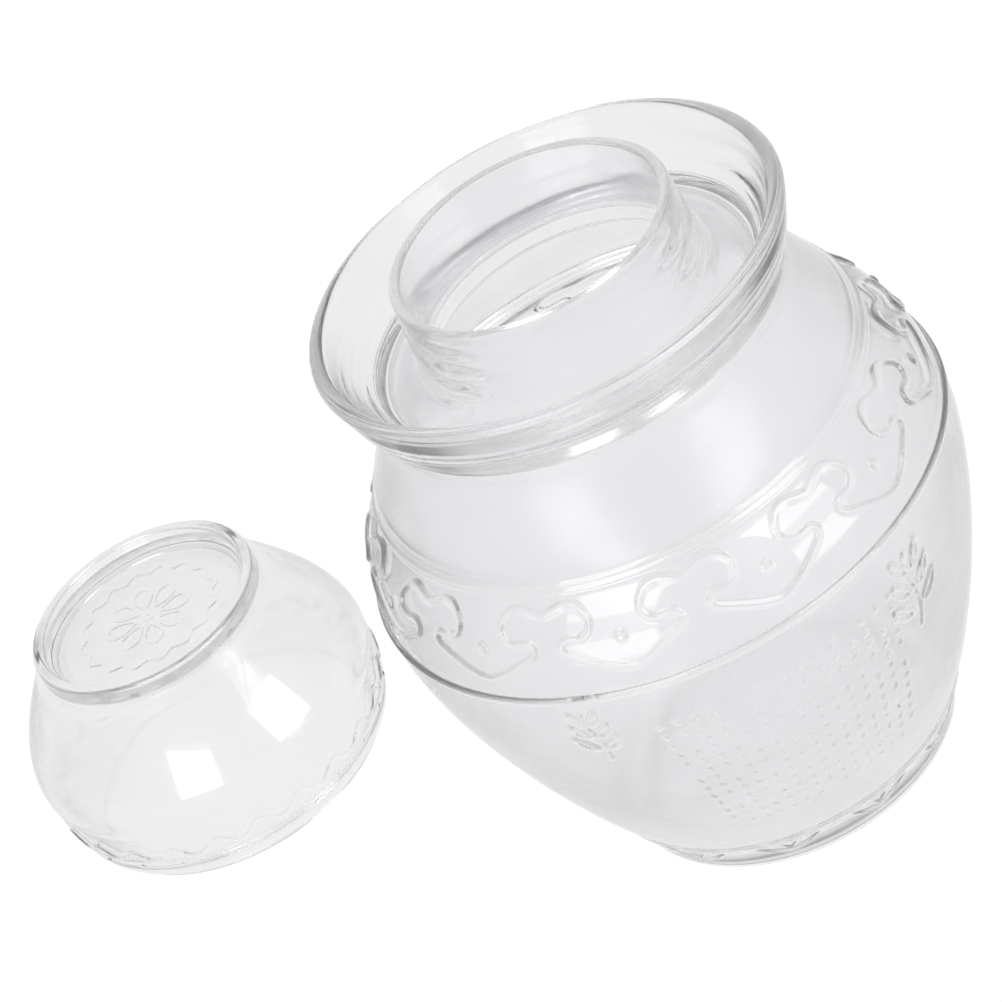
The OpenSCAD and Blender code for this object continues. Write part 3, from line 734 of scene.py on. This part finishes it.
# %% Clear glass
JAR_TINT = (0.967, 0.964, 0.975)
SATIN_TINT = (0.943, 0.940, 0.951)
LID_TINT = (0.985, 0.984, 0.988)
TOOLED_RINGS = (14, 14, 260)
for finish in (
        clear_glass("moulded_glass_outside", JAR_TINT, 0.02, 0.07),
        clear_glass("blown_glass_inside", JAR_TINT, 0.19, 0.25, mirror=0.15),
        clear_glass("tooled_glass", JAR_TINT, 0.03, 0.18, TOOLED_RINGS, 0.00015, 0.5),
        clear_glass("satin_collar", SATIN_TINT, 0.06, 0.16, mirror=0.1)):
    jar_glass.data.materials.append(finish)
for finish in (
        clear_glass("pressed_glass_outside", LID_TINT, 0.02, 0.06),
        clear_glass("pressed_glass_inside", LID_TINT, 0.12, 0.2),
        clear_glass("pressed_glass_foot", LID_TINT, 0.08, 0.16)):
    lid_glass.data.materials.append(finish)
print("finishes:", len(jar_glass.data.materials), "on the jar,",
      len(lid_glass.data.materials), "on the lid")

# %% [markdown]
# ## Floor, room and lamps
#
# Glass is photographed against a bright ground, so that it shows as pale grey with darker
# edges. The floor is a white lit panel and the room is nearly as bright. A picture of a
# studio could stand in for the room, but a plain one is enough for plain walls. Both are
# dimmer behind glass than seen directly, which keeps the ground white while the glass reads
# as grey. Soft lamps mirror as bright squares, two on the jar's band and two on the lid.
# On the band a square is made of a tall lamp with a stronger one at each end, because the
# collar above it mirrors the middle. The lid's right lamp is small and near, in front of the
# jar. Each lamp shines on its own piece alone, and the camera doesn't see it.

# %% Floor
FLOOR_SIZE = 8.0


def seen_or_behind(nodes, links, direct, behind, socket):
    """Sets a strength to one value where it is seen directly, and another through the glass."""
    path = nodes.new("ShaderNodeLightPath")
    pick = nodes.new("ShaderNodeMapRange")
    pick.inputs["To Min"].default_value = behind
    pick.inputs["To Max"].default_value = direct
    links.new(path.outputs["Is Camera Ray"], pick.inputs["Value"])
    links.new(pick.outputs["Result"], socket)


bpy.ops.mesh.primitive_plane_add(size=FLOOR_SIZE)
floor = bpy.context.object
floor.name = "pale_floor"
floor_material, nodes, links, shader = new_material("pale_floor")
shader.inputs["Base Color"].default_value = (0.05, 0.05, 0.05, 1)
shader.inputs["Roughness"].default_value = 0.9
shader.inputs["Emission Color"].default_value = (1, 1, 1, 1)
seen_or_behind(nodes, links, 0.98, 0.84, shader.inputs["Emission Strength"])
floor.data.materials.append(floor_material)
print("floor:", FLOOR_SIZE, "m square")

# %% Room
world = bpy.data.worlds.new("room")
bpy.context.scene.world = world
world.use_nodes = True
background = world.node_tree.nodes["Background"]
background.inputs["Color"].default_value = (1.0, 1.0, 1.0, 1)
seen_or_behind(world.node_tree.nodes, world.node_tree.links, 0.93, 0.75,
               background.inputs["Strength"])

# %% Lamps


def soft_lamp(name, at, aim, wide, tall, power, shown_on):
    """A rectangle of light, in metres and watts, that shines on one piece alone."""
    lamp = bpy.data.objects.new(name, bpy.data.lights.new(name, "AREA"))
    lamp.data.shape = "RECTANGLE"
    lamp.data.size = wide
    lamp.data.size_y = tall
    lamp.data.energy = power
    lamp.visible_camera = False
    lamp.location = at
    lamp.rotation_euler = (Vector(aim) - Vector(at)).to_track_quat("-Z", "Y").to_euler()
    bpy.context.scene.collection.objects.link(lamp)
    shown = bpy.data.collections.new(name + "_shown_on")
    shown.objects.link(shown_on)
    lamp.light_linking.receiver_collection = shown


def towards(azimuth, elevation, far, start):
    """The place that far from start, in that direction in degrees."""
    a, e = math.radians(azimuth), math.radians(elevation)
    way = Vector((math.cos(a) * math.cos(e), math.sin(a) * math.cos(e), math.sin(e)))
    return Vector(start) + far * way


band_left, band_right = (-0.045, -0.085, 0.14), (0.06, -0.075, 0.14)
for name, aim, azimuth, elevation, far, wide, tall, power in (
        ("jar_left", band_left, -128, 28.5, 0.55, 0.35, 0.88, 1.4),
        ("jar_left_low", band_left, -128, -3, 0.5, 0.32, 0.16, 0.38),
        ("jar_left_high", band_left, -128, 48, 0.5, 0.32, 0.33, 0.8),
        ("jar_right", band_right, -49, 25, 0.55, 0.29, 0.78, 1.0),
        ("jar_right_low", band_right, -49, -3, 0.5, 0.26, 0.16, 0.31),
        ("jar_right_high", band_right, -49, 45, 0.5, 0.26, 0.3, 0.6)):
    soft_lamp(name, towards(azimuth, elevation, far, aim), aim, wide, tall, power, jar_glass)

soft_lamp("lid_left", (-0.62, -1.17, 0.4), (-0.04, -0.09, 0.13), 0.66, 0.66, 6, lid_glass)
lid_right = (-0.158, 0.086, 0.049)
soft_lamp("lid_right", towards(-43, 18, 0.07, lid_right), lid_right, 0.05, 0.05, 0.034, lid_glass)
print("lamps:", len(bpy.data.lights))

# %% [markdown]
# ## How far light is followed
#
# A ray that crosses the jar, its trough and the jar's far side meets many faces of glass,
# so it is followed through 24 of them. Light that is caught inside a wall by total
# reflection ends earlier, which leaves the dark edges that clear glass has.

# %% Picture
FACES_CROSSED, CAUGHT_IN_A_WALL = 24, 11
bpy.context.scene.view_settings.view_transform = "Standard"
cycles = bpy.context.scene.cycles
cycles.max_bounces = FACES_CROSSED
cycles.transmission_bounces = FACES_CROSSED
cycles.glossy_bounces = CAUGHT_IN_A_WALL
print("light is followed through", FACES_CROSSED, "faces")

# %% [markdown]
# ## Bodies
#
# The jar and the lid are loose from each other, and the lid can be lifted. Parenting would
# tie a skin to the parts, but here the frame does it: each skin stands for the CAD nodes of
# its loose piece and moves with that piece's body. The skins have to keep to the CAD
# model's box.

# %% Bodies
bodies = frame["record"]["behaviour"]["bodies"]
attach(jar_glass, "jar")
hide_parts(*bodies["jar"])
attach(lid_glass, "lid")
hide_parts(*bodies["lid"])
print("the jar's skin stands for", len(bodies["jar"]), "nodes, the lid's for",
      len(bodies["lid"]))

# %% Import json
import json
